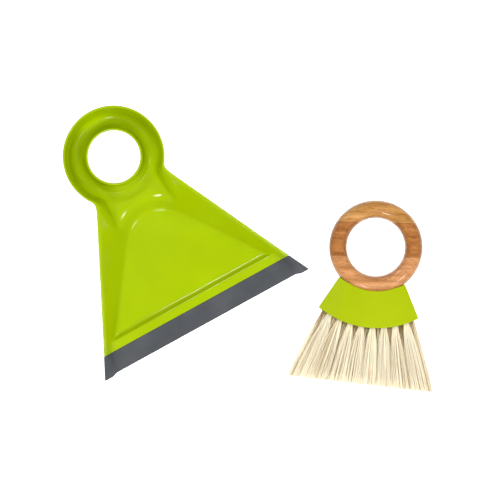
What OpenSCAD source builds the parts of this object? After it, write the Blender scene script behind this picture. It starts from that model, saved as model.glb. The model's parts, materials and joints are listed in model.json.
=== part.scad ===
// Small dustpan with a ring handle, and its fan-shaped hand brush lying beside it.
// Millimetres, +Z up. The origin is on the ground, under the middle of the pair's bounding box.
// The pan is drawn about the axis of its hanging hole, with its lip towards -Y.
// The brush is drawn about the centre of its wooden ring, with its bristles towards -Y.
// lay_pan() and lay_brush() then put the two on the ground, side by side.

/* [Pan] */
// Outer radius of the pan's ring
ring_outer_r = 42.5; // [40:0.5:46]
// Radius of the hanging hole
hang_hole_r = 21.9; // [20:0.1:23]
// Distance from the hole's axis to the straight front edge of the lip
pan_reach = 158.6; // [150:0.5:170]
// Width over the two front corners
pan_width = 195.2; // [185:0.5:205]
// Height of the rim where the side walls leave the ring
rim_back_z = 30; // [26:0.5:32]
// Height of the rim at the front corners
rim_front_z = 12; // [9:0.5:14]
// Wall thickness of the moulding
wall = 2; // [1.6:0.1:2.4]
// Height of the bottom of the ring's channel
channel_z = 10; // [8:0.5:12]
// Height of the ring's inner wall
inner_rim_z = 24; // [22:0.5:25]
// Lean of the ring's outer wall away from the vertical
channel_lean = 12; // [8:1:14]
// Half angle of the floor's wedge shape
floor_half_angle = 36.2; // [34:0.1:38]
// Radius of the floor's rounded back end
floor_back_r = 27.8; // [22:0.2:32]
// Height of the crest across the mouth
crest_z = 6; // [4:0.5:7]

/* [Lip] */
// Depth of the soft lip from its seam to its front edge
lip_depth = 16.8; // [14:0.2:20]
// Thickness of the lip's front edge
lip_edge_t = 0.8; // [0.6:0.1:1.2]
// Length of the hard tongue inside the lip
tongue_length = 7; // [4:0.5:9]

/* [Brush ring] */
// Outer radius of the wooden ring
wood_outer_r = 39; // [37:0.5:41]
// Inner radius of the wooden ring
wood_inner_r = 24.4; // [22:0.1:26]
// Thickness of the wooden ring
wood_t = 14; // [12:0.5:15]
// Radius of the ring's rounded edges
wood_edge_r = 6.5; // [4:0.1:6.6]
// Angle between the glue lines and the brush's width
glue_angle = 5; // [0:1:10]

/* [Brush head] */
// Distance from the ring's centre to the middle of the head's lower edge
head_reach = 67.8; // [64:0.2:72]
// Radius of the head's curved lower edge
head_arc_r = 75.7; // [70:0.1:82]
// Thickness of the head at the middle of its lower edge
head_t = 22; // [20:0.5:23]
// Thickness of the head's plastic
head_wall = 1.8; // [1.4:0.1:2.2]
// Height of the block that holds the tufts
block_depth = 14; // [11:0.5:16]

/* [Tufts] */
// Tufts in the front row and in the back row
outer_row_tufts = 8; // [6:1:8]
// Tufts in the middle row
middle_row_tufts = 9; // [7:1:9]
// Distance from the ring's centre to the cut ends
bristle_reach = 115; // [105:1:120]
// Radius of a tuft where it leaves the head
tuft_root_r = 2.2; // [1.8:0.1:2.3]
// Radius of a tuft at its cut end
tuft_tip_r = 4.2; // [3:0.1:4.4]

/* [Layout] */
// Distance from the hanging hole's axis to the brush's ring, across the pan
brush_across = 154.8; // [150:0.2:180]
// Distance from the hanging hole's axis to the brush's ring, towards the lip
brush_along = 170.8; // [160:0.2:190]
// Turn of the brush about the vertical
brush_turn = -35.4; // [-45:0.1:-25]

/* [Hidden] */
$fn = 96;
tuft_facets = 24;
edge_facets = 180;
far = 300;
sliver = 0.01;

lime = "#b4d605";
satin_lime = "#b3c619";
soft_grey = "#68676c";
bamboo = ["#ce9458", "#bb8344", "#c38f65"];
steel = "#b8bcc0";
bristle = "#fff1cd";

// Ring channel: a U section whose bottom is made of two arcs that meet at channel_r.
outer_arc_r = 5.5;
lean_rise = rim_back_z - channel_z - outer_arc_r + (outer_arc_r + wall) * sin(channel_lean);
channel_r = ring_outer_r - (outer_arc_r + wall) * cos(channel_lean) - lean_rise * tan(channel_lean);
inner_arc_r = channel_r - hang_hole_r - wall;

// Places along the pan, measured from the hole's axis towards the lip.
junction_y = 29;
junction_x = 32.7;
lip_seam_y = pan_reach - lip_depth;
crest_y = 134.5;
crest_foot_y = 131;
crest_land = 0.8;
crest_rounding = 0.4;
front_corner_y = pan_reach + 1.4;
seam_z = crest_z - (crest_z - lip_edge_t) * (lip_seam_y - crest_y) / (pan_reach - crest_y);
floor_apex_y = 33.5;
floor_arc_y = floor_apex_y + floor_back_r / sin(floor_half_angle);
floor_seam_x = (lip_seam_y - floor_apex_y) * tan(floor_half_angle);
lip_end_width = 11.4;
floor_front_x = pan_width / 2 - lip_end_width;
neck_half_w = 23.5;
neck_end_half_w = 25.5;
neck_block_half_w = 28;
neck_block_end_half_w = 25;
neck_bow = 2;
neck_end_y = 53;
neck_z = channel_z + 0.4;
wall_rim_z = rim_back_z - 0.4;

// Basin: the walls end in small plates at the corners, and the inside is drawn past the rim.
outer_base_grow = 0.8;
corner_plate_r = 0.2;
corner_plate_t = 0.1;
void_shrink = 2.6;
void_rise = 3;
mouth_start = 0.5;
mouth_length = 4;
mouth_flare = 12;
mouth_rise = 13.2;

// Hollow under the crest, and the hard tongue inside the lip.
hollow_end_gap = 12;
hollow_foot = 1.6;
hollow_land = 1.2;
hollow_roof = 0.4;
hollow_back_gap = 2;
tongue_end_gap = 4;
tongue_z = 0.9;
tongue_t = 0.9;

// Brush: the mid plane rises towards the head, so that ring and head both touch the ground.
arc_centre = head_arc_r - head_reach;
wood_flat_r = wood_outer_r - wood_edge_r;
brush_tilt = atan((head_t - wood_t) / 2 / (head_reach + wood_flat_r));
brush_z = wood_edge_r + (wood_t / 2 - wood_edge_r) * cos(brush_tilt) + wood_flat_r * sin(brush_tilt);
glue_top = 20.2;
glue_middle = 3.8;
glue_bottom = -8;
head_slope = 0.157;
saddle_r = wood_outer_r + 2.4;
block_face = 0.6;
screw_x = 9;
screw_seat = 40.4;
screw_r = 1.5;
screw_length = 11;
screw_head_r = 2.6;
screw_head_t = 1.8;

// Head: half widths of its side edges and of its flat faces, and how fast they widen downwards.
head_top = 26;
cavity_top = 30;
cavity_overshoot = 5;
side_start_reach = 27.3;
side_start_x = 27;
side_flare = 0.534;
facet_start_reach = 28.6;
facet_start_x = 19.9;
facet_flare = 0.1325;
side_share = 0.55;
side_inset_share = 1.1;
facet_inset_share = 0.4;
end_rise = 5;

// Tufts: three rows that fan out from one point behind the head.
fan_back = 41;
hole_depth = 9;
hole_gap = 0.1;
tuft_depth = 7;
tuft_length = 66;
anchor_width = 3.6;
anchor_t = 0.5;
outer_row_z = 4.6;
end_drop = 1.6;
row_splay = 3.2;
tuft_pitch_angle = 7.2;
bristle_half_w = 61.3;

// Place of the hanging hole's axis, which puts the pair's bounding box over the origin.
pan_x = -(brush_across + wood_outer_r - pan_width / 2) / 2;
pan_y = (brush_along + bristle_half_w * sin(-brush_turn) + bristle_reach * cos(brush_turn)
    - ring_outer_r) / 2;

// A point on an arc of radius r about c, at angle a
function arc_point(c, r, a) = [c[0] + r * cos(a), c[1] + r * sin(a)];

// Points along an arc. An arc that carries on from another one leaves out its first point.
function arc_points(c, r, from, to, first = 0, steps = 12) =
    [for (i = [first : steps]) arc_point(c, r, from + (to - from) * i / steps)];

// --- Pan ---

// Upper surface of the ring's channel, from the inner rim to the outer rim
function channel_line() = concat(
    [[hang_hole_r + wall, rim_back_z + 1]],
    arc_points([channel_r, channel_z + inner_arc_r], inner_arc_r, 180, 270),
    arc_points([channel_r, channel_z + outer_arc_r], outer_arc_r, 270, 360 - channel_lean, 1),
    [[ring_outer_r - wall / cos(channel_lean) + tan(channel_lean), rim_back_z + 1]]
);

// Underside of the same channel
function channel_under_line() = concat(
    arc_points([channel_r, channel_z + inner_arc_r], inner_arc_r + wall, 180, 270),
    arc_points([channel_r, channel_z + outer_arc_r], outer_arc_r + wall, 270, 360 - channel_lean, 1)
);

// Solid of revolution under the channel's upper surface
module ring_blank() {
    rotate_extrude()
        polygon(concat(
            [[hang_hole_r, inner_rim_z]],
            channel_under_line(),
            [[ring_outer_r, rim_back_z], [hang_hole_r + wall, rim_back_z]],
            [[hang_hole_r + wall, inner_rim_z]]
        ));
}

module channel_void() {
    rotate_extrude()
        polygon(channel_line());
}

// Outline of the pan's floor, grown outwards by grow
module floor_outline(grow) {
    translate([0, -floor_arc_y])
        circle(r = floor_back_r + grow);
    for (side = [-1, 1])
        polygon([
            [0, -floor_arc_y],
            [side * (floor_back_r + grow) * cos(floor_half_angle),
             -floor_arc_y + (floor_back_r + grow) * sin(floor_half_angle)],
            [side * (floor_seam_x + grow), -lip_seam_y],
            [side * (floor_front_x + grow), -front_corner_y],
            [0, -front_corner_y]
        ]);
}

// One corner of the rim: a small plate that the walls rise to
module rim_corner(x, y, z) {
    translate([x, -y, z - corner_plate_t])
        cylinder(r = corner_plate_r, h = corner_plate_t, $fn = 8);
}

// Basin with sloping walls between the floor outline and the rim.
// shrink pulls the walls in, rise lifts the rim along the walls' slope.
module basin_form(base_z, grow, shrink, rise) {
    out = rise - shrink;
    back_x = junction_x - corner_plate_r + out;
    front_x = pan_width / 2 - corner_plate_r + out;
    hull() {
        translate([0, 0, base_z])
            linear_extrude(height = sliver)
                floor_outline(grow);
        for (side = [-1, 1]) {
            rim_corner(side * back_x, junction_y + corner_plate_r - out, wall_rim_z + rise);
            rim_corner(side * front_x, front_corner_y - corner_plate_r, rim_front_z + rise);
        }
    }
}

// Everything in front of a distance from the hole's axis
module in_front_of(y) {
    translate([-far / 2, -y - far, -far / 2])
        cube([far, far, far]);
}

// Inside of the basin, open at the mouth
module basin_void() {
    mouth_x = floor_front_x + mouth_flare;
    mouth_z = wall + mouth_rise;
    basin_form(wall, 0, void_shrink, void_rise);
    translate([0, -front_corner_y + mouth_start, 0])
        rotate([90, 0, 0])
            linear_extrude(height = mouth_length)
                polygon([
                    [-floor_front_x, wall], [floor_front_x, wall],
                    [mouth_x, mouth_z], [-mouth_x, mouth_z]
                ]);
}

// Outline of the neck between the ring and the basin, from its half widths at the two ends
module neck_outline(back_x, end_x) {
    polygon([
        [-back_x, -channel_r + neck_bow], [0, -channel_r - neck_bow],
        [back_x, -channel_r + neck_bow],
        [end_x, -neck_end_y], [-end_x, -neck_end_y]
    ]);
}

// Opening from the ring's channel into the basin
module neck_void() {
    translate([0, 0, neck_z])
        linear_extrude(height = far)
            neck_outline(neck_half_w, neck_end_half_w);
}

// Floor and cheeks of the neck, which tie the ring to the basin
module neck_block() {
    translate([0, 0, neck_z - wall])
        linear_extrude(height = wall_rim_z - neck_z - wall)
            neck_outline(neck_block_half_w, neck_block_end_half_w);
}

// Crest and ramp across the mouth, up to the lip's front edge
module mouth_ramp() {
    translate([-far / 2, 0, 0])
        rotate([90, 0, 90])
            linear_extrude(height = far)
                polygon([
                    [-crest_foot_y, 0], [-crest_foot_y, wall],
                    [-crest_y + crest_land, crest_z - crest_rounding], [-crest_y, crest_z],
                    [-crest_y - crest_land, crest_z - crest_rounding / 4],
                    [-pan_reach, lip_edge_t], [-pan_reach, 0]
                ]);
}

// Hollow under the crest, which keeps the moulding's wall even
module crest_hollow() {
    half_length = floor_seam_x - hollow_end_gap;
    roof_z = crest_z - wall - hollow_roof;
    back_y = -lip_seam_y + hollow_back_gap;
    translate([-half_length, 0, 0])
        rotate([90, 0, 90])
            linear_extrude(height = 2 * half_length)
                polygon([
                    [-crest_foot_y - hollow_foot, -wall / 2], [-crest_y, roof_z],
                    [-crest_y - hollow_land, roof_z], [back_y, seam_z - wall],
                    [back_y, -wall / 2]
                ]);
}

// Whole moulded pan with its lip, before the two materials are parted
module pan_form() {
    difference() {
        union() {
            ring_blank();
            basin_form(0, outer_base_grow, 0, 0);
            neck_block();
        }
        channel_void();
        difference() {
            basin_void();
            mouth_ramp();
        }
        neck_void();
        difference() {
            in_front_of(pan_reach);
            lip_wings();
        }
    }
}

// The two upright ends of the lip that reach past the straight front edge
module lip_wings() {
    for (side = [-1, 1])
        translate([side * (floor_front_x + far / 2), 0, 0])
            cube([far, far * 2, far], center = true);
}

// Hard tongue that the lip is moulded around
module tongue() {
    half_length = floor_seam_x - tongue_end_gap;
    translate([-half_length, -lip_seam_y - tongue_length, tongue_z])
        cube([2 * half_length, tongue_length + wall / 2, tongue_t]);
}

// Stands the pan in its place in the pair
module lay_pan() {
    translate([pan_x, pan_y, 0])
        children();
}

module pan_shell() {
    color(lime)
        lay_pan() {
            difference() {
                pan_form();
                in_front_of(lip_seam_y);
                crest_hollow();
            }
            tongue();
        }
}

module pan_lip() {
    color(soft_grey)
        lay_pan()
            difference() {
                intersection() {
                    pan_form();
                    in_front_of(lip_seam_y);
                }
                tongue();
            }
}

// --- Brush ---

// Lays the brush beside the pan, resting on its ring and its head
module lay_brush() {
    translate([pan_x + brush_across, pan_y - brush_along, brush_z])
        rotate([0, 0, brush_turn])
            rotate([-brush_tilt, 0, 0])
                children();
}

// Whole wooden ring with rounded edges
module wood_ring() {
    low = wood_t / 2 - wood_edge_r;
    inner = wood_inner_r + wood_edge_r;
    rotate_extrude()
        polygon(concat(
            arc_points([wood_flat_r, low], wood_edge_r, 0, 90),
            arc_points([inner, low], wood_edge_r, 90, 180),
            arc_points([inner, -low], wood_edge_r, 180, 270),
            arc_points([wood_flat_r, -low], wood_edge_r, 270, 360)
        ));
}

// Strip of the glued board between two glue lines, on one side or over the full width
module board_strip(from, to, side) {
    left = side > 0 ? 0 : -far / 2;
    width = side == 0 ? far : far / 2;
    rotate([0, 0, glue_angle])
        translate([left, from, -far / 2])
            cube([width, to - from, far]);
}

module stave(from, to, side, tint) {
    lay_brush()
        color(bamboo[tint])
            difference() {
                intersection() {
                    wood_ring();
                    board_strip(from, to, side);
                }
                if (from < glue_bottom)
                    screws();
            }
}

// Two screws that hold the ring in the head's saddle
module screws() {
    for (x = [-screw_x, screw_x])
        translate([x, -screw_seat, 0])
            rotate([-90, 0, 0]) {
                cylinder(r = screw_r, h = screw_length);
                translate([0, 0, -screw_head_t])
                    cylinder(r = screw_head_r, h = screw_head_t);
            }
}

module ring_screws() {
    color(steel)
        lay_brush()
            screws();
}

// One cross-section of the head at a distance from the ring's centre, as a thin slice
module head_slice(reach, inset) {
    side_x = side_start_x + side_flare * (reach - side_start_reach) - inset * side_inset_share;
    facet_x = facet_start_x + facet_flare * (reach - facet_start_reach) - inset * facet_inset_share;
    mid_z = head_t / 2 - head_slope * (head_reach - reach) - inset;
    side_z = mid_z * side_share;
    translate([0, -reach, 0])
        rotate([90, 0, 0])
            linear_extrude(height = sliver)
                polygon([
                    [-side_x, -side_z], [-facet_x, -mid_z], [facet_x, -mid_z], [side_x, -side_z],
                    [side_x, side_z], [facet_x, mid_z], [-facet_x, mid_z], [-side_x, side_z]
                ]);
}

// Fan-shaped wedge from a distance down to the curved lower edge
module head_form(top, inset, edge_inset) {
    intersection() {
        hull() {
            head_slice(top, inset);
            head_slice(head_reach + 1, inset);
        }
        translate([0, arc_centre, -far / 2])
            cylinder(r = head_arc_r - edge_inset, h = far, $fn = edge_facets);
    }
}

module head_shell() {
    color(satin_lime)
        lay_brush()
            difference() {
                head_form(head_top, 0, 0);
                difference() {
                    head_form(cavity_top, head_wall, -cavity_overshoot);
                    cylinder(r = saddle_r, h = far, center = true);
                }
                wood_ring();
                screws();
            }
}

module tuft_block() {
    color(satin_lime)
        lay_brush()
            difference() {
                head_form(head_reach - block_depth - end_rise, head_wall, block_face);
                for (row = [-1 : 1])
                    for (i = [1 : row_count(row)])
                        at_tuft(row, i)
                            translate([0, 0, -hole_depth])
                                cylinder(r = tuft_root_r + hole_gap, h = 2 * hole_depth, $fn = tuft_facets);
            }
}

// --- Tufts ---

function row_count(row) = row == 0 ? middle_row_tufts : outer_row_tufts;
function tuft_angle(row, i) = (i - (row_count(row) + 1) / 2) * tuft_pitch_angle;
function tuft_x(row, i) = (head_arc_r - block_face) * sin(tuft_angle(row, i));
function tuft_reach(row, i) = (head_arc_r - block_face) * cos(tuft_angle(row, i)) - arc_centre;

// The outer rows close in on the middle one towards their ends, as the head gets thinner there
function tuft_z(row, i) =
    row * (outer_row_z - end_drop * pow(tuft_angle(row, i) / tuft_angle(row, 1), 2));

// Puts children at a tuft's root, with +Z along the tuft
module at_tuft(row, i) {
    translate([tuft_x(row, i), -tuft_reach(row, i), tuft_z(row, i)])
        rotate([0, 0, atan(tuft_x(row, i) / (tuft_reach(row, i) + fan_back))])
            rotate([90 - row * row_splay, 0, 0])
                children();
}

// One tuft: straight in its hole, spreading outside it, and cut off level with the others
module tuft(row, i) {
    color(bristle)
        lay_brush()
            difference() {
                at_tuft(row, i) {
                    translate([0, 0, -tuft_depth])
                        cylinder(r = tuft_root_r, h = tuft_depth, $fn = tuft_facets);
                    cylinder(r1 = tuft_root_r, r2 = tuft_tip_r, h = tuft_length, $fn = tuft_facets);
                }
                in_front_of(bristle_reach);
            }
}

// Flat wires at the bottoms of the holes, which the tufts are folded over
module tuft_anchors() {
    color(steel)
        lay_brush()
            for (row = [-1 : 1])
                for (i = [1 : row_count(row)])
                    at_tuft(row, i)
                        translate([0, 0, -(tuft_depth + hole_depth) / 2])
                            cube([anchor_width, anchor_t, hole_depth - tuft_depth], center = true);
}

pan_shell();
pan_lip();
stave(glue_top, far, 0, 0);  // stave_top
stave(glue_middle, glue_top, -1, 1);  // stave_upper_left
stave(glue_middle, glue_top, 1, 1);  // stave_upper_right
stave(glue_bottom, glue_middle, -1, 1);  // stave_lower_left
stave(glue_bottom, glue_middle, 1, 1);  // stave_lower_right
stave(-far, glue_bottom, 0, 2);  // stave_bottom
ring_screws();
head_shell();
tuft_block();
tuft_anchors();
for (i = [1 : outer_row_tufts])
    tuft(1, i);
for (i = [1 : middle_row_tufts])
    tuft(0, i);
for (i = [1 : outer_row_tufts])
    tuft(-1, i);
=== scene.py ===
"""Dustpan and brush: the looks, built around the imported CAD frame. Metres, +Z up.

The plastic mouldings are smooth distance fields, written in millimetres in the same two local
frames as part.scad: the pan's, about the axis of its hanging hole, and the brush's, about the
centre of its wooden ring. surface_net() turns a field into a mesh.
"""
import json
import math
import random

import bpy
import numpy as np
from mathutils import Matrix, Vector


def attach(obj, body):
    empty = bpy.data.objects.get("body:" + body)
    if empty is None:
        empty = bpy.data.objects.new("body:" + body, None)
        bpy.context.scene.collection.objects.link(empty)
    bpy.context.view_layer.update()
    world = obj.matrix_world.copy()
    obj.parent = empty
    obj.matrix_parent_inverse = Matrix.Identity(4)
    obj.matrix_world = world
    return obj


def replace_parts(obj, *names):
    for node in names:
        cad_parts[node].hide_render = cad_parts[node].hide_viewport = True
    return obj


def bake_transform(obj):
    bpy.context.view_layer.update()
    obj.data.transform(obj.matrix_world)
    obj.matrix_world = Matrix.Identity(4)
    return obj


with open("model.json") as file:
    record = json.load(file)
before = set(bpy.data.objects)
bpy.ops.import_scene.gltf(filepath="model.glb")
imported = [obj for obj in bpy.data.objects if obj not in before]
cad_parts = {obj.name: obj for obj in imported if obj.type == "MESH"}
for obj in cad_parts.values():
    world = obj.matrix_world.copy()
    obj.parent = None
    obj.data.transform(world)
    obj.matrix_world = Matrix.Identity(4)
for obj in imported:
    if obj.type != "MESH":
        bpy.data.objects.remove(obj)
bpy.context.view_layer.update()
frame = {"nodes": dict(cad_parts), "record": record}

MM = 0.001

# --- Dimensions that part.scad has too, in millimetres. Reaches along the pan are -Y here. ---

WALL = 2.0
HANG_HOLE_R = 21.9
CHANNEL_R = 31.75
CHANNEL_Z = 10.0
INNER_ARC_R = CHANNEL_R - HANG_HOLE_R - WALL
OUTER_ARC_R = 5.5
CHANNEL_LEAN = math.radians(12)
RING_RIM_Z = 30.0
INNER_RIM_Z = 24.0

JUNCTION_X, JUNCTION_Y, JUNCTION_Z = 32.7, -29.0, 29.6
CORNER_X, CORNER_Y, CORNER_Z = 97.6, -160.0, 12.0
FLOOR_HALF_ANGLE = math.radians(36.2)
FLOOR_BACK_R = 27.8
FLOOR_APEX_Y = -33.5
FLOOR_FRONT_X = 86.2
LIP_SEAM_Y = -141.8
LIP_FRONT_Y = -158.6
LIP_EDGE_T = 0.8
CREST_FOOT_Y = -131.0
CREST_Y = -134.5
CREST_Z = 6.0
NECK_Z = 10.4
NECK_HALF_W = 23.5
NECK_END_HALF_W = 25.5
NECK_END_Y = -53.0

WOOD_OUTER_R = 39.0
WOOD_INNER_R = 24.4
WOOD_T = 14.0
WOOD_EDGE_R = 6.5
GLUE_ANGLE = math.radians(5)
GLUE_LINES = (20.2, 3.8, -8.0)

HEAD_REACH = 67.8
HEAD_TOP_REACH = 26.0
HEAD_ARC_R = 75.7
HEAD_T = 22.0
HEAD_WALL = 1.8
HEAD_SLOPE = 0.157
SIDE_START_X, SIDE_START_REACH, SIDE_FLARE = 27.0, 27.3, 0.534
FACET_START_X, FACET_START_REACH, FACET_FLARE = 19.9, 28.6, 0.1325
SIDE_SHARE = 0.55
SADDLE_R = WOOD_OUTER_R + 2.4

# Each row's place above or below the middle one, with its name and its number of tufts
ROWS = {1: ("front", 8), 0: ("middle", 9), -1: ("back", 8)}
ROW_Z = 4.6
ROW_END_DROP = 1.6
ROW_SPLAY = math.radians(3.2)
TUFT_PITCH = math.radians(7.2)
TUFT_FAN_BACK = 41.0
TUFT_ROOT_R = 2.2
TUFT_TIP_R = 4.2
TUFT_SPREAD_LENGTH = 66.0
BLOCK_FACE = 0.6
BRISTLE_REACH = 115.0
BRUSH_TURN = math.radians(-35.4)

# --- Finer shapes and roundings that only the looks have, in millimetres ---

RIM_INSET = 2.3
RIM_BACK_Y = -23.0
RIM_CORNER_WIDTH = 6.0
RIM_BEND_WIDTH = 0.6
RIM_ROUNDING = 1.6
FLOOR_BEND_WIDTH = 3.0
FLOOR_FILLET = 2.5
CREST_STEP_SLOPE = 1.25
CREST_FOOT_WIDTH = 3.0
CREST_TOP_WIDTH = 1.2
UNION_FILLET = 3.0
NECK_BACK_R = 30.0
NECK_DRAFT = 0.3
NECK_FILLET = 4.0
NECK_CORNER_WIDTH = 4.0
NECK_END_WIDTH = 1.0
EDGE_ROUNDING = 0.3
LIP_EDGE_ROUNDING = 0.5
LIP_END_START_X = FLOOR_FRONT_X - 1
LIP_END_STOP_X = FLOOR_FRONT_X + 4
HEAD_CORNER_WIDTH = 0.8
HEAD_EDGE_WIDTH = 0.9
HEAD_WALL_WIDTH = 0.5
SADDLE_GAP = 0.25


def mount(name):
    """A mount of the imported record."""
    return next(m for m in frame["record"]["mounts"] if m["name"] == name)


pan_hole = mount("pan_hang_hole")["pos_m"]
PAN_PLACE = Matrix.Translation((pan_hole[0], pan_hole[1], 0))
BRUSH_TILT = -math.atan((HEAD_T - WOOD_T) / 2 / (HEAD_REACH + WOOD_OUTER_R - WOOD_EDGE_R))
BRUSH_PLACE = (
    Matrix.Translation(mount("brush_hang_hole")["pos_m"])
    @ Matrix.Rotation(BRUSH_TURN, 4, "Z")
    @ Matrix.Rotation(BRUSH_TILT, 4, "X")
)

# --- Fields: a field is below zero inside its solid, and about a distance near the surface ---


def smooth_min(a, b, width):
    """The lower of two fields, with the crease between them rounded over a width."""
    overlap = np.maximum(width - np.abs(a - b), 0) / width
    return np.minimum(a, b) - overlap * overlap * width / 4


def smooth_max(a, b, width):
    """The higher of two fields, with the crease between them rounded over a width."""
    return -smooth_min(-a, -b, width)


def ramp(value, start, end):
    """0 at start, 1 at end, and smooth between them."""
    t = np.clip((value - start) / (end - start), 0, 1)
    return t * t * (3 - 2 * t)


def floor_gap(x, y):
    """Distance outside the outline of the pan's floor, a wedge with a round back end."""
    x = np.abs(x)
    sine, cosine = math.sin(FLOOR_HALF_ANGLE), math.cos(FLOOR_HALF_ANGLE)
    centre_y = FLOOR_APEX_Y - FLOOR_BACK_R / sine
    seam_x = (FLOOR_APEX_Y - LIP_SEAM_Y) * sine / cosine
    front_slope = (FLOOR_FRONT_X - seam_x) / (LIP_SEAM_Y - CORNER_Y)
    wedge_x = (FLOOR_APEX_Y - y) * sine / cosine
    front_x = seam_x + (LIP_SEAM_Y - y) * front_slope
    side = (x - smooth_min(wedge_x, front_x, FLOOR_BEND_WIDTH)) * cosine
    past_round_end = x * sine - (y - centre_y) * cosine
    return np.where(past_round_end < 0, np.hypot(x, y - centre_y) - FLOOR_BACK_R, side)


def rim_gap(x, y):
    """Distance inside the outline of the basin's rim."""
    slope = (CORNER_X - JUNCTION_X) / (JUNCTION_Y - CORNER_Y)
    side = JUNCTION_X + (JUNCTION_Y - y) * slope - np.abs(x)
    side = side / math.hypot(1, slope)
    return smooth_min(side, RIM_BACK_Y - y, RIM_CORNER_WIDTH) - RIM_INSET


def rim_height(y):
    """Height of the outer rim, level round the ring and falling towards the lip."""
    slope = (JUNCTION_Z - CORNER_Z) / (JUNCTION_Y - CORNER_Y)
    return smooth_min(JUNCTION_Z + (y - JUNCTION_Y) * slope, RING_RIM_Z, RIM_BEND_WIDTH)


def floor_height(y, has_crest):
    """Height of the floor along the pan, with or without its crest."""
    flat = WALL + 0 * y
    if not has_crest:
        return flat
    step = WALL + (CREST_FOOT_Y - y) * CREST_STEP_SLOPE
    slope = (CREST_Z - LIP_EDGE_T) / (CREST_Y - LIP_FRONT_Y)
    rising = smooth_max(flat, step, CREST_FOOT_WIDTH)
    return smooth_min(rising, CREST_Z + (y - CREST_Y) * slope, CREST_TOP_WIDTH)


def basin_top(x, y, has_crest):
    """Height of the basin's upper surface: the floor, and walls that rise to the rim."""
    outside = floor_gap(x, y)
    inside = rim_gap(x, y)
    wall = WALL + (rim_height(y) - WALL) * outside / np.maximum(outside + inside, 1)
    return smooth_max(floor_height(y, has_crest), wall, FLOOR_FILLET)


def basin_gap(x, y, z, has_crest):
    """Distance below the basin's upper surface."""
    step = 0.1
    top = basin_top(x, y, has_crest)
    slope_x = (basin_top(x + step, y, has_crest) - top) / step
    slope_y = (basin_top(x, y + step, has_crest) - top) / step
    return (top - z) / np.sqrt(1 + slope_x**2 + slope_y**2)


def channel_gap(x, y, z):
    """Distance outside the hollow of the ring's channel."""
    sine, cosine = math.sin(CHANNEL_LEAN), math.cos(CHANNEL_LEAN)
    r = np.hypot(x, y) - CHANNEL_R
    inner_z = z - CHANNEL_Z - INNER_ARC_R
    inner = np.where(inner_z > 0, -r, np.hypot(r, inner_z)) - INNER_ARC_R
    outer_z = z - CHANNEL_Z - OUTER_ARC_R
    on_wall = r * sine + outer_z * cosine > 0
    outer = np.where(on_wall, r * cosine - outer_z * sine, np.hypot(r, outer_z)) - OUTER_ARC_R
    return np.where(r < 0, inner, outer)


def neck_gap(x, y, z):
    """Distance outside the opening from the channel into the basin."""
    widening = (y - JUNCTION_Y) / (NECK_END_Y - JUNCTION_Y) * (NECK_END_HALF_W - NECK_HALF_W)
    half_w = NECK_HALF_W + widening + (z - NECK_Z) * NECK_DRAFT
    side = (np.abs(x) - half_w) / math.hypot(1, NECK_DRAFT)
    ends = np.maximum(NECK_BACK_R - np.hypot(x, y), np.maximum(NECK_END_Y - y, y))
    trough = smooth_max(NECK_Z - z, side, NECK_CORNER_WIDTH)
    return smooth_max(trough, ends, NECK_END_WIDTH)


def pan_gap(x, y, z, has_crest):
    """Distance below the whole upper surface of the pan."""
    gap = smooth_min(basin_gap(x, y, z, has_crest), channel_gap(x, y, z), UNION_FILLET)
    return smooth_min(gap, neck_gap(x, y, z), NECK_FILLET)


def pan_skin(x, y, z, under_crest):
    """The whole moulding: an even wall under the upper surface, cut off round at the rim."""
    skin = np.maximum(-pan_gap(x, y, z, True), pan_gap(x, y, z, not under_crest) - WALL)
    rim = np.where(np.hypot(x, y) < CHANNEL_R, INNER_RIM_Z, rim_height(y))
    return smooth_max(smooth_max(skin, z - rim, RIM_ROUNDING), -z, EDGE_ROUNDING)


def shell_field(x, y, z):
    """The lime moulding, back from the lip's seam, with an even wall under the crest."""
    return smooth_max(pan_skin(x, y, z, False), LIP_SEAM_Y - y, EDGE_ROUNDING)


def lip_field(x, y, z):
    """The soft lip: solid down to the ground, with an upright end at each side wall."""
    body = smooth_max(pan_skin(x, y, z, True), y - LIP_SEAM_Y, EDGE_ROUNDING)
    past_floor = ramp(np.abs(x), LIP_END_START_X, LIP_END_STOP_X)
    front_y = LIP_FRONT_Y + (CORNER_Y - LIP_FRONT_Y) * past_floor
    return smooth_max(body, front_y - y, LIP_EDGE_ROUNDING)


def wood_field(x, y, z):
    """The wooden ring with its rounded edges."""
    half_w = (WOOD_OUTER_R - WOOD_INNER_R) / 2 - WOOD_EDGE_R
    r = np.abs(np.hypot(x, y) - (WOOD_OUTER_R + WOOD_INNER_R) / 2) - half_w
    up = np.abs(z) - (WOOD_T / 2 - WOOD_EDGE_R)
    outside = np.hypot(np.maximum(r, 0), np.maximum(up, 0))
    return outside + np.minimum(np.maximum(r, up), 0) - WOOD_EDGE_R


def head_sides(x, y, z, inset):
    """The head's front, back, side and facet planes, all moved in by inset."""
    reach = -y
    side_x = SIDE_START_X + SIDE_FLARE * (reach - SIDE_START_REACH)
    facet_x = FACET_START_X + FACET_FLARE * (reach - FACET_START_REACH)
    mid_z = HEAD_T / 2 - HEAD_SLOPE * (HEAD_REACH - reach)
    side_z = mid_z * SIDE_SHARE
    x, z = np.abs(x), np.abs(z)
    face = (z - mid_z) / math.hypot(1, HEAD_SLOPE)
    side = (x - side_x) / math.hypot(1, SIDE_FLARE)
    run, fall = side_x - facet_x, mid_z - side_z
    facet = ((x - facet_x) * fall + (z - mid_z) * run) / np.hypot(run, fall)
    front = smooth_max(face, facet, HEAD_CORNER_WIDTH)
    return smooth_max(front, side, HEAD_CORNER_WIDTH) + inset


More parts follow.
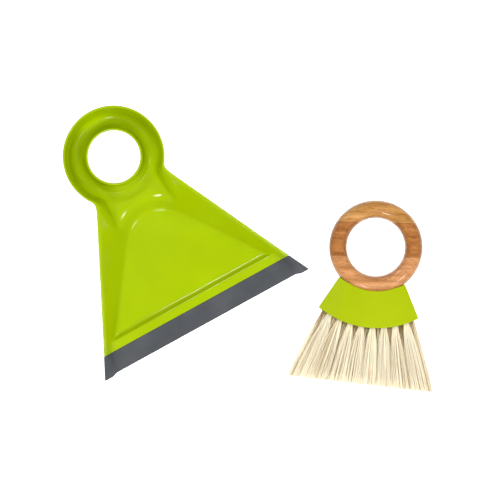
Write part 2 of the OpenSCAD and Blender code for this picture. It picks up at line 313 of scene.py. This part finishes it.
def head_field(x, y, z):
    """The fan-shaped head: a shell that is open below, with a saddle for the wooden ring."""
    arc = np.hypot(x, y + HEAD_REACH - HEAD_ARC_R) - HEAD_ARC_R
    outer = smooth_max(head_sides(x, y, z, 0), arc, HEAD_EDGE_WIDTH)
    outer = smooth_max(outer, y + HEAD_TOP_REACH, HEAD_CORNER_WIDTH)
    saddle = SADDLE_R - np.hypot(x, y)
    cavity = smooth_max(head_sides(x, y, z, HEAD_WALL), saddle, HEAD_CORNER_WIDTH)
    shell = smooth_max(outer, -cavity, HEAD_WALL_WIDTH)
    return smooth_max(shell, SADDLE_GAP - wood_field(x, y, z), HEAD_EDGE_WIDTH)


# --- Meshes: each has a box in millimetres, and a pitch along each axis ---

PAN_BOX = ((-98.3, -142.2, -0.9), (98.3, 43.5, 31))
PAN_PITCH = (0.9, 0.9, 0.9)
LIP_BOX = ((-98.5, -160.5, -0.7), (98.5, -141.3, 15.5))
LIP_PITCH = (0.7, 0.45, 0.35)
HEAD_BOX = ((-51, -69, -11.7), (51, -24, 11.7))
HEAD_PITCH = (0.55, 0.55, 0.55)
NET_PASSES = 6
LEAST_STEEPNESS = 0.05
TINY = 1e-9


def along(axis, part):
    """An index that takes a part of one axis of a grid and all of the other two."""
    index = [slice(None)] * 3
    index[axis] = part
    return tuple(index)


def net_vertices(value):
    """The vertex of each cell that the surface crosses, in grid units, and the cells' numbers."""
    cells = tuple(n - 1 for n in value.shape)
    total = np.zeros(cells + (3,))
    count = np.zeros(cells)
    for axis in range(3):
        lower = value[along(axis, slice(None, -1))]
        upper = value[along(axis, slice(1, None))]
        crossed = (lower < 0) != (upper < 0)
        share = np.where(crossed, lower / np.where(crossed, lower - upper, 1), 0)
        first, second = (a for a in range(3) if a != axis)
        for i in (0, 1):
            for j in (0, 1):
                index = [slice(None)] * 3
                index[first] = slice(i, i + cells[first])
                index[second] = slice(j, j + cells[second])
                hit = crossed[tuple(index)]
                total[..., axis] += share[tuple(index)]
                total[..., first] += i * hit
                total[..., second] += j * hit
                count += hit
    active = count > 0
    number = np.full(cells, -1)
    number[active] = np.arange(active.sum())
    points = np.argwhere(active) + total[active] / count[active][:, None]
    return points, number


def net_quads(value, number):
    """A quad round each grid edge that the surface crosses, facing out of the solid."""
    quads = []
    for axis in range(3):
        lower = value[along(axis, slice(None, -1))] < 0
        upper = value[along(axis, slice(1, None))] < 0
        first, second = (axis + 1) % 3, (axis + 2) % 3
        inner = [slice(None)] * 3
        inner[first] = inner[second] = slice(1, -1)
        for leaving in (True, False):
            crossed = (lower & ~upper) if leaving else (~lower & upper)
            at = np.argwhere(crossed[tuple(inner)])
            corners = []
            for i, j in ((0, 0), (1, 0), (1, 1), (0, 1)):
                cell = at.copy()
                cell[:, first] += i
                cell[:, second] += j
                corners.append(number[tuple(cell.T)])
            quads.append(np.stack(corners if leaving else corners[::-1], axis=1))
    return np.concatenate(quads)


def slopes(field, points):
    """The field's gradient at each point."""
    step = 0.02
    columns = []
    for axis in range(3):
        shift = np.zeros(3)
        shift[axis] = step
        columns.append((field(*(points + shift).T) - field(*(points - shift).T)) / (2 * step))
    return np.stack(columns, axis=1)


def surface_net(name, field, box, pitch, place):
    """A mesh of the surface where the field is zero, with its normals from the field."""
    low, high = box
    axes = [np.arange(a, b + step, step) for a, b, step in zip(low, high, pitch)]
    value = field(*np.meshgrid(*axes, indexing="ij", sparse=True))
    points, number = net_vertices(value)
    quads = net_quads(value, number)
    points = np.array(low) + points * np.array(pitch)
    reach = min(pitch) / 2
    for _ in range(NET_PASSES):
        slope = slopes(field, points)
        steep = np.maximum((slope**2).sum(axis=1), LEAST_STEEPNESS)
        move = np.clip(field(*points.T) / steep, -reach, reach)
        points -= slope * move[:, None]
    mesh = bpy.data.meshes.new(name)
    mesh.from_pydata(points * MM, [], quads.tolist())
    mesh.transform(place)
    mesh.polygons.foreach_set("use_smooth", np.ones(len(quads), bool))
    turn = np.array(place.to_3x3())
    normals = slopes(field, points) @ turn.T
    normals /= np.linalg.norm(normals, axis=1, keepdims=True) + TINY
    mesh.normals_split_custom_set_from_vertices(normals)
    return link(name, mesh)


def link(name, mesh):
    """An object that shows the mesh."""
    piece = bpy.data.objects.new(name, mesh)
    bpy.context.scene.collection.objects.link(piece)
    return piece


# --- Materials ---


def add(tree, kind, inputs=None, **settings):
    """A shader node. Each of its inputs is a number, a colour or another node's output."""
    node = tree.nodes.new(kind)
    for key, setting in settings.items():
        setattr(node, key, setting)
    for key, given in (inputs or {}).items():
        if isinstance(given, bpy.types.NodeSocket):
            tree.links.new(given, node.inputs[key])
        else:
            node.inputs[key].default_value = given
    return node


def new_material(name, **constants):
    """A material with a Principled shader, and numbers set on the shader's own sockets."""
    material = bpy.data.materials.new(name)
    material.use_nodes = True
    shader = material.node_tree.nodes["Principled BSDF"]
    for key, number in constants.items():
        shader.inputs[key.replace("_", " ")].default_value = number
    return material, material.node_tree, shader


def connect(tree, shader, **outputs):
    """Joins other nodes' outputs to the shader's own sockets."""
    for key, output in outputs.items():
        tree.links.new(output, shader.inputs[key.replace("_", " ")])


def between(tree, factor, low, high):
    """A number that goes from low to high as factor goes from 0 to 1."""
    node = add(tree, "ShaderNodeMapRange", {"Value": factor, "To Min": low, "To Max": high})
    return node.outputs["Result"]


def varied(tree, number, factor, amount):
    """A number, moved down or up by as much as an amount as factor goes from 0 to 1."""
    shift = between(tree, factor, low=-amount, high=amount)
    return add(tree, "ShaderNodeMath", {0: number, 1: shift}, operation="ADD").outputs[0]


def tones(tree, factor, *stops):
    """A colour ramp through (place, colour) stops."""
    node = add(tree, "ShaderNodeValToRGB", {"Fac": factor})
    elements = node.color_ramp.elements
    while len(elements) < len(stops):
        elements.new(0.5)
    for element, (place, colour) in zip(elements, stops):
        element.position = place
        element.color = (*colour, 1)
    return node.outputs["Color"]


def two_tones(tree, cloud, first, second):
    """A colour that drifts from the first to the second across the usual range of a noise."""
    return tones(tree, cloud, (0.3, first), (0.7, second))


def mix(tree, share, first, second):
    """The first colour with a share, from 0 to 1, of the second colour over it."""
    node = add(tree, "ShaderNodeMixRGB", {"Fac": share, "Color1": first}, use_clamp=True)
    node.inputs["Color2"].default_value = (*second, 1)
    return node.outputs["Color"]


def millimetres(tree, place):
    """Coordinates in millimetres in a local frame."""
    mapping = add(
        tree,
        "ShaderNodeMapping",
        {
            "Vector": add(tree, "ShaderNodeTexCoord").outputs["Object"],
            "Location": place.to_translation(),
            "Rotation": place.to_euler(),
            "Scale": (MM, MM, MM),
        },
        vector_type="TEXTURE",
    )
    return mapping.outputs["Vector"]


def noise(tree, vector, scale, detail=2.0, stretch=(1, 1, 1)):
    """Noise from 0 to 1 whose blobs are about 1 / scale millimetres across."""
    stretched = add(
        tree, "ShaderNodeVectorMath", {0: vector, 1: stretch}, operation="MULTIPLY"
    )
    node = add(
        tree,
        "ShaderNodeTexNoise",
        {"Vector": stretched.outputs["Vector"], "Scale": scale, "Detail": detail},
    )
    return node.outputs["Fac"]


def bump(tree, height, depth, strength=1.0):
    """A normal from a height between 0 and 1, with its depth in millimetres."""
    node = add(
        tree,
        "ShaderNodeBump",
        {"Height": height, "Distance": depth * MM, "Strength": strength},
    )
    return node.outputs["Normal"]


def glossy_lime():
    """Polished plastic with faint flow marks and hairline scratches."""
    material, tree, shader = new_material(
        "glossy_lime", Specular_IOR_Level=0.3, Coat_Weight=0.1, Coat_Roughness=0.02
    )
    at = millimetres(tree, PAN_PLACE)
    cloud = noise(tree, at, scale=0.03)
    hairlines = noise(tree, at, scale=1.5, detail=3.0, stretch=(0.06, 2.5, 1))
    waves = noise(tree, at, scale=0.12, detail=1.0)
    connect(
        tree,
        shader,
        Base_Color=two_tones(tree, cloud, (0.302, 0.416, 0.0), (0.328, 0.450, 0.0)),
        Roughness=between(tree, hairlines, low=0.07, high=0.14),
        Normal=bump(tree, waves, depth=0.03),
    )
    return material


def satin_lime():
    """Satin plastic with a fine spark-eroded grain."""
    material, tree, shader = new_material("satin_lime", Specular_IOR_Level=0.15)
    at = millimetres(tree, BRUSH_PLACE)
    cloud = noise(tree, at, scale=0.05)
    grain = noise(tree, at, scale=3.0, detail=3.0)
    connect(
        tree,
        shader,
        Base_Color=two_tones(tree, cloud, (0.330, 0.418, 0.002), (0.355, 0.446, 0.003)),
        Roughness=between(tree, grain, low=0.32, high=0.48),
        Normal=bump(tree, grain, depth=0.02),
    )
    return material


def soft_grey():
    """Soft-touch elastomer: matt, with a fine grain and a faint bloom."""
    material, tree, shader = new_material("soft_grey", Specular_IOR_Level=0.2)
    at = millimetres(tree, PAN_PLACE)
    grain = noise(tree, at, scale=2.5, detail=3.0)
    bloom = noise(tree, at, scale=0.05)
    connect(
        tree,
        shader,
        Base_Color=two_tones(tree, bloom, (0.060, 0.064, 0.071), (0.076, 0.080, 0.087)),
        Roughness=between(tree, grain, low=0.55, high=0.72),
        Normal=bump(tree, grain, depth=0.03),
    )
    return material


GLUE_HALF_W = 0.16
GLUE_SHARE = 0.8
DEEP_SHARE = 0.55


def glue_lines(tree, at):
    """The share of dark glue: GLUE_SHARE in the thin lines between the staves, 0 elsewhere."""
    across = add(tree, "ShaderNodeSeparateXYZ", {"Vector": at}).outputs["Y"]
    total = 0.0
    for line in GLUE_LINES:
        is_near = {0: across, 1: line, 2: GLUE_HALF_W}
        here = add(tree, "ShaderNodeMath", is_near, operation="COMPARE").outputs[0]
        summed = {0: here, 1: GLUE_SHARE, 2: total}
        total = add(tree, "ShaderNodeMath", summed, operation="MULTIPLY_ADD").outputs[0]
    return total


def painted_edge_shade(tree, at):
    """The share of painted shade on the ring's inner and outer sides: most at mid-height, none on
    its top and bottom.
    """
    up = add(tree, "ShaderNodeSeparateXYZ", {"Vector": at}).outputs["Z"]
    height = add(tree, "ShaderNodeMath", {0: up}, operation="ABSOLUTE").outputs[0]
    node = add(
        tree,
        "ShaderNodeMapRange",
        {"Value": height, "From Min": 0.5, "From Max": 6.0, "To Min": 0.85, "To Max": 0.0},
    )
    return node.outputs["Result"]


def bamboo(name, dark, mid, pale):
    """Lacquered bamboo: long fibres along the strip, short dark bundles, thin glue lines, and
    painted shade on the ring's sides.
    """
    material, tree, shader = new_material(
        name, Specular_IOR_Level=0.3, Coat_Weight=0.4, Coat_Roughness=0.08
    )
    at = millimetres(tree, BRUSH_PLACE @ Matrix.Rotation(GLUE_ANGLE, 4, "Z"))
    bands = noise(tree, at, scale=0.30, stretch=(0.06, 1, 1))
    fibres = noise(tree, at, scale=2.2, detail=3.0, stretch=(0.04, 1, 1))
    bundles = noise(tree, at, scale=1.3, detail=1.0, stretch=(0.16, 1.6, 1.6))
    deep = [part * DEEP_SHARE for part in dark]
    grain = varied(tree, bands, fibres, amount=0.25)
    wood = tones(tree, grain, (0.25, dark), (0.5, mid), (0.75, pale))
    marked = mix(tree, between(tree, bundles, low=-5.5, high=3.5), wood, deep)
    # Painted shade: the ring's inner and outer sides are darkened towards the deep colour.
    edge_shaded = mix(tree, painted_edge_shade(tree, at), marked, deep)
    connect(
        tree,
        shader,
        Base_Color=mix(tree, glue_lines(tree, at), edge_shaded, deep),
        Roughness=between(tree, fibres, low=0.28, high=0.45),
        Normal=bump(tree, fibres, depth=0.05),
    )
    return material


def steel():
    """Brushed steel wire and screws."""
    material, tree, shader = new_material("steel", Metallic=1.0)
    brushed = noise(tree, millimetres(tree, BRUSH_PLACE), scale=4.0, stretch=(0.1, 1, 1))
    connect(
        tree,
        shader,
        Base_Color=two_tones(tree, brushed, (0.50, 0.51, 0.53), (0.60, 0.61, 0.62)),
        Roughness=between(tree, brushed, low=0.25, high=0.4),
    )
    return material


def bristle():
    """Cream filaments, each with its own tone and painted root shade in the attribute that
    make_tuft() writes.
    """
    material, tree, shader = new_material("bristle", Specular_IOR_Level=0.35)
    # The attribute holds each filament's own tone, with painted shade near the head on the lower
    # rows.
    own = add(tree, "ShaderNodeAttribute", attribute_name="tone").outputs["Fac"]
    mottle = noise(tree, millimetres(tree, BRUSH_PLACE), scale=0.6, stretch=(1, 0.15, 1))
    dark, mid, pale = (0.36, 0.23, 0.10), (0.94, 0.82, 0.58), (0.99, 0.94, 0.77)
    tone = varied(tree, own, mottle, amount=0.2)
    connect(
        tree,
        shader,
        Base_Color=tones(tree, tone, (0.0, dark), (0.3, mid), (1.0, pale)),
        Roughness=between(tree, mottle, low=0.4, high=0.6),
    )
    return material


# --- Pieces ---


def make_pan():
    """The lime moulding and its soft lip."""
    shell = surface_net("pan_moulding", shell_field, PAN_BOX, PAN_PITCH, PAN_PLACE)
    shell.data.materials.append(glossy_lime())
    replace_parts(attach(shell, "pan"), "pan_shell")
    lip = surface_net("soft_lip", lip_field, LIP_BOX, LIP_PITCH, PAN_PLACE)
    lip.data.materials.append(soft_grey())
    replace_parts(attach(lip, "pan"), "pan_lip")


def make_head():
    """The brush's plastic head."""
    head = surface_net("brush_head", head_field, HEAD_BOX, HEAD_PITCH, BRUSH_PLACE)
    head.data.materials.append(satin_lime())
    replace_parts(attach(head, "brush"), "head_shell")


def finish_cad_nodes():
    """Materials for the CAD nodes that stay in view."""
    tan = bamboo("bamboo_tan", (0.32, 0.14, 0.03), (0.47, 0.222, 0.058), (0.60, 0.305, 0.098))
    brown = bamboo("bamboo_brown", (0.21, 0.07, 0.014), (0.345, 0.127, 0.029), (0.47, 0.19, 0.052))
    pale = bamboo("bamboo_pale", (0.36, 0.15, 0.045), (0.52, 0.23, 0.085), (0.67, 0.33, 0.14))
    finishes = {
        "stave_top": tan,
        "stave_upper_left": brown,
        "stave_upper_right": brown,
        "stave_lower_left": brown,
        "stave_lower_right": brown,
        "stave_bottom": pale,
        "ring_screws": steel(),
        "tuft_anchors": steel(),
        "tuft_block": satin_lime(),
    }
    for node, material in finishes.items():
        mesh = frame["nodes"][node].data
        mesh.materials.clear()
        mesh.materials.append(material)


# Filaments, in millimetres and radians, with pairs for a lowest and a highest value. A tuft's
# filaments wind out from its middle through SPIRAL_COUNT golden angles. Its cut end is
# TUFT_WIDTH times as wide as it is high, or less at the two ends of the middle row.
FILAMENTS = 120
FILAMENT_R = (0.17, 0.23)
FILAMENT_SIDES = 5
FILAMENT_STEPS = 8
STEP_GROWTH = 1.2
START_DEPTH = 1.5
SPIRAL_COUNT = 250
SPIRAL_FILL = 0.93
TURN_SHAKE = 0.3
SPREAD_SHAKE = (0.92, 1.06)
TIP_WANDER_X, TIP_WANDER_Y = 0.6, 0.25
BOW = 0.25
CUT_SHAKE = 0.5
LEAN_POWER = 2.5
TUFT_WIDTH = 1.55
TUFT_EDGE_WIDTH = 0.95

# Tones from 0, dark, to 1, pale. The lower rows get painted shade near the head, darkest at their
# roots.
DARK_SHARE = 0.09
DARK_TONE = 0.1
LEAST_TONE = 0.02
USUAL_TONE = 0.65
TONE_SPREAD = 0.18
PAINTED_ROOT_SHADE = 0.9
PAINTED_SHADE_RINGS = 4


def tuft_place(row, index):
    """The place of a tuft's root, with +Z along the tuft."""
    count = ROWS[row][1]
    first = (1 - (count + 1) / 2) * TUFT_PITCH
    angle = (index - (count + 1) / 2) * TUFT_PITCH
    x = (HEAD_ARC_R - BLOCK_FACE) * math.sin(angle)
    reach = (HEAD_ARC_R - BLOCK_FACE) * math.cos(angle) - HEAD_ARC_R + HEAD_REACH
    z = row * (ROW_Z - ROW_END_DROP * (angle / first) ** 2)
    return (
        Matrix.Translation((x, -reach, z))
        @ Matrix.Rotation(math.atan(x / (reach + TUFT_FAN_BACK)), 4, "Z")
        @ Matrix.Rotation(math.pi / 2 - row * ROW_SPLAY, 4, "X")
    )


def tuft_widths(row, index):
    """How wide a tuft's cut end is for its height, to the left and to the right of its middle."""
    is_middle = row == 0
    tufts = ROWS[row][1]
    return (
        TUFT_EDGE_WIDTH if is_middle and index == 1 else TUFT_WIDTH,
        TUFT_EDGE_WIDTH if is_middle and index == tufts else TUFT_WIDTH,
    )


def filament(draw, place, share, widths):
    """The middle line of one filament, from inside its hole to the cut end."""
    around = share * SPIRAL_COUNT * math.pi * (3 - math.sqrt(5))
    around = around + draw.uniform(-TURN_SHAKE, TURN_SHAKE)
    spread = SPIRAL_FILL * math.sqrt(share) * draw.uniform(*SPREAD_SHAKE)
    root = Vector((math.cos(around), math.sin(around), 0)) * spread * TUFT_ROOT_R
    squareness = 1 / max(abs(math.cos(around)), abs(math.sin(around)))
    wander = Vector((draw.gauss(0, TIP_WANDER_X), draw.gauss(0, TIP_WANDER_Y), 0))
    tip = root * squareness * TUFT_TIP_R / TUFT_ROOT_R + wander
    tip.x *= widths[tip.x > 0]
    bow = Vector((draw.gauss(0, BOW), draw.gauss(0, BOW), 0))
    cut = BRISTLE_REACH - abs(draw.gauss(0, CUT_SHAKE))
    start, end = place @ root, place @ (tip + Vector((0, 0, TUFT_SPREAD_LENGTH)))
    length = TUFT_SPREAD_LENGTH * (cut + start.y) / (start.y - end.y)
    points = []
    for step in range(FILAMENT_STEPS + 1):
        s = -START_DEPTH + (length + START_DEPTH) * (step / FILAMENT_STEPS) ** STEP_GROWTH
        along_tuft = max(s, 0) / length
        lean = 1 - (1 - along_tuft) ** LEAN_POWER
        offset = root.lerp(tip, lean) + bow * math.sin(math.pi * along_tuft)
        points.append(place @ (offset + Vector((0, 0, s))))
    return points


def filament_tone(draw):
    """A filament's own tone: most are pale, and a few are dark."""
    if draw.random() < DARK_SHARE:
        return DARK_TONE
    return min(max(draw.gauss(USUAL_TONE, TONE_SPREAD), LEAST_TONE), 1)


def tube(line, radius, base):
    """The vertices round a line, and the faces of its closed tube, with numbers from base."""
    sides = FILAMENT_SIDES
    forwards = (line[-1] - line[0]).normalized()
    across = forwards.cross(Vector((0, 0, 1))).normalized()
    up = across.cross(forwards)
    vertices, faces = [], []
    for centre in line:
        for side in range(sides):
            turn = 2 * math.pi * side / sides
            vertices.append(centre + (across * math.cos(turn) + up * math.sin(turn)) * radius)
    for ring in range(len(line) - 1):
        for side in range(sides):
            a = base + ring * sides + side
            b = base + ring * sides + (side + 1) % sides
            faces.append((a, a + sides, b + sides, b))
    last = base + (len(line) - 1) * sides
    faces.append([base + side for side in range(sides)])
    faces.append([last + side for side in reversed(range(sides))])
    return vertices, faces


def ring_tone_with_shade(own, row, ring):
    """The tone of one ring of a filament's vertices, counted from inside its hole, with painted
    shade on the lower rows near the head.
    """
    # Painted shade: the middle and back rows darken over their first rings, where the tufts meet
    # the head.
    shade = 0 if row > 0 else PAINTED_ROOT_SHADE * (1 - ring / PAINTED_SHADE_RINGS)
    return own - max(shade, 0)


def make_tuft(row, index, material):
    """One tuft as a bundle of filaments."""
    name = ROWS[row][0]
    draw = random.Random(f"{name} {index}")
    place, widths = tuft_place(row, index), tuft_widths(row, index)
    vertices, faces, tone = [], [], []
    for k in range(FILAMENTS):
        line = filament(draw, place, (k + 0.5) / FILAMENTS, widths)
        more_vertices, more_faces = tube(line, draw.uniform(*FILAMENT_R), len(vertices))
        vertices += more_vertices
        faces += more_faces
        own = filament_tone(draw)
        # Each ring's tone carries the painted shade of the lower rows near the head.
        for ring in range(len(line)):
            tone += [ring_tone_with_shade(own, row, ring)] * FILAMENT_SIDES
    mesh = bpy.data.meshes.new(f"filaments_{name}_{index}")
    mesh.from_pydata([v * MM for v in vertices], [], faces)
    mesh.transform(BRUSH_PLACE)
    mesh.attributes.new("tone", "FLOAT", "POINT").data.foreach_set("value", tone)
    mesh.polygons.foreach_set("use_smooth", [True] * len(faces))
    mesh.materials.append(material)
    tuft = link(mesh.name, mesh)
    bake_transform(tuft)
    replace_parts(tuft, f"tuft_{name}_{index}")


def make_tufts():
    """Three staggered rows of tufts."""
    material = bristle()
    for row, (_, count) in ROWS.items():
        for index in range(1, count + 1):
            make_tuft(row, index, material)


# --- Stage, in metres ---

PICTURE_UP = Vector((0.482, 0.876, 0))
PICTURE_RIGHT = Vector((0.876, -0.482, 0))
LOOK_AT = Vector((0.0135, 0.0065, 0.008))
VIEW_WIDTH = 0.4175
CAMERA_DISTANCE = 2.4
SENSOR_WIDTH = 36
GROUND_HALF_W = 6.0
GROUND_GLOW = 0.65
ROOM_LIGHT = 0.12
WHITE = (1, 1, 1, 1)


def make_camera():
    """A camera straight above the pair, turned as the picture is."""
    away = Vector((0, 0, 1))
    right = PICTURE_RIGHT.normalized()
    up = away.cross(right)
    data = bpy.data.cameras.new("camera")
    data.sensor_width = SENSOR_WIDTH
    data.lens = SENSOR_WIDTH * CAMERA_DISTANCE / VIEW_WIDTH
    camera = bpy.data.objects.new("camera", data)
    bpy.context.scene.collection.objects.link(camera)
    turn = Matrix((right, up, away)).transposed()
    camera.matrix_world = Matrix.Translation(LOOK_AT + away * CAMERA_DISTANCE) @ turn.to_4x4()
    bpy.context.scene.camera = camera


def add_light(name, azimuth, elevation, distance, size, power):
    """A square soft box that faces the pair. Azimuth 0 is the picture's right, 90 its top."""
    turn, rise = math.radians(azimuth), math.radians(elevation)
    flat = PICTURE_RIGHT * math.cos(turn) + PICTURE_UP * math.sin(turn)
    away = flat * math.cos(rise) + Vector((0, 0, math.sin(rise)))
    data = bpy.data.lights.new(name, "AREA")
    data.shape = "SQUARE"
    data.size = size
    data.energy = power
    lamp = bpy.data.objects.new(name, data)
    bpy.context.scene.collection.objects.link(lamp)
    lamp.location = LOOK_AT + away * distance
    lamp.rotation_euler = away.to_track_quat("Z", "Y").to_euler()
    return lamp


def add_fill(name, **settings):
    """A light that the glossy surfaces don't mirror."""
    add_light(name, **settings).visible_glossy = False


def make_ground():
    """A plain white ground with a faint unevenness in its finish."""
    half = GROUND_HALF_W
    corners = [(-half, -half, 0), (half, -half, 0), (half, half, 0), (-half, half, 0)]
    mesh = bpy.data.meshes.new("ground")
    mesh.from_pydata(corners, [], [(0, 1, 2, 3)])
    ground = link("ground", mesh)
    material, tree, shader = new_material(
        "white_ground",
        Specular_IOR_Level=0.1,
        Emission_Color=WHITE,
        Emission_Strength=GROUND_GLOW,
    )
    cloud = noise(tree, millimetres(tree, Matrix.Identity(4)), scale=0.02)
    connect(
        tree,
        shader,
        Base_Color=two_tones(tree, cloud, (0.90, 0.90, 0.90), (0.92, 0.92, 0.92)),
        Roughness=between(tree, cloud, low=0.75, high=0.85),
    )
    mesh.materials.append(material)


def make_room():
    """A dim white room, and colours that are shown as they are."""
    world = bpy.data.worlds.new("room")
    world.use_nodes = True
    background = world.node_tree.nodes["Background"]
    background.inputs["Color"].default_value = WHITE
    background.inputs["Strength"].default_value = ROOM_LIGHT
    bpy.context.scene.world = world
    bpy.context.scene.view_settings.view_transform = "Standard"


def make_stage():
    """Ground, camera, room, three small lights for the highlights, and four fills."""
    make_ground()
    make_camera()
    make_room()
    add_light("near", azimuth=-96, elevation=60, distance=1.6, size=0.20, power=3.6)
    add_light("near_right", azimuth=-37, elevation=60, distance=1.6, size=0.28, power=3.4)
    add_light("far_left", azimuth=120, elevation=42, distance=1.6, size=0.24, power=3.8)
    add_fill("overhead_left", azimuth=145, elevation=73, distance=1.0, size=0.4, power=3.2)
    add_fill("overhead_right", azimuth=-30, elevation=72, distance=0.9, size=0.4, power=2.6)
    add_fill("near_left", azimuth=-125, elevation=35, distance=1.6, size=0.5, power=11)
    add_fill("right", azimuth=5, elevation=30, distance=1.4, size=0.5, power=7.5)


make_pan()
make_head()
finish_cad_nodes()
make_tufts()
make_stage()
